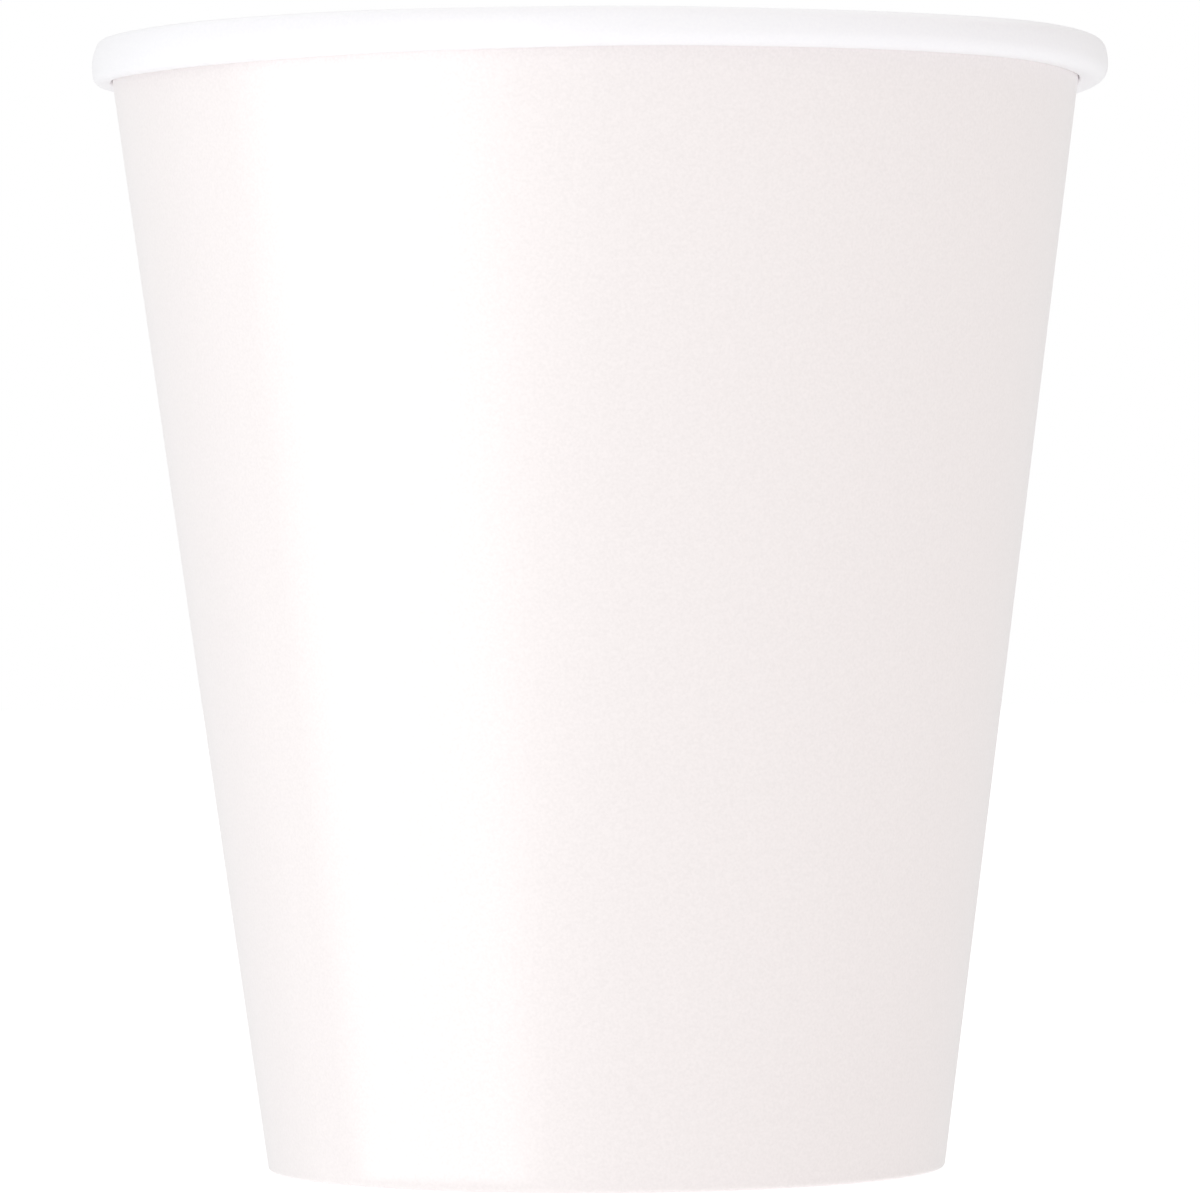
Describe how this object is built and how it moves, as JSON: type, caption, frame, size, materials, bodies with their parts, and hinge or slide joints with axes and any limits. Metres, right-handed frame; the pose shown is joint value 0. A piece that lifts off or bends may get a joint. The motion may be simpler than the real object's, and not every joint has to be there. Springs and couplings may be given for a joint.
{
  "type": "paper cup",
  "caption": "Tapered paper cup for drinks, open at the top, with a curled rim, a lap seam down the wall, a turned-in hem at the foot and a recessed base disc",
  "frame": {"origin": "the middle of the foot, on the surface that the cup stands on", "axes": "+Z is the cup's axis and points out of its mouth, the lap seam faces +Y, and -Y faces the viewer"},
  "size_m": [0.0802, 0.0803, 0.0886],
  "materials": {
    "wall_board": "coated cup board, satin white with a faint warm cast",
    "base_board": "coated cup board, satin white inside and matt white underneath"
  },
  "bodies": {
    "root": {"side_wall": "wall_board", "base_disc": "base_board"}
  },
  "joints": []
}
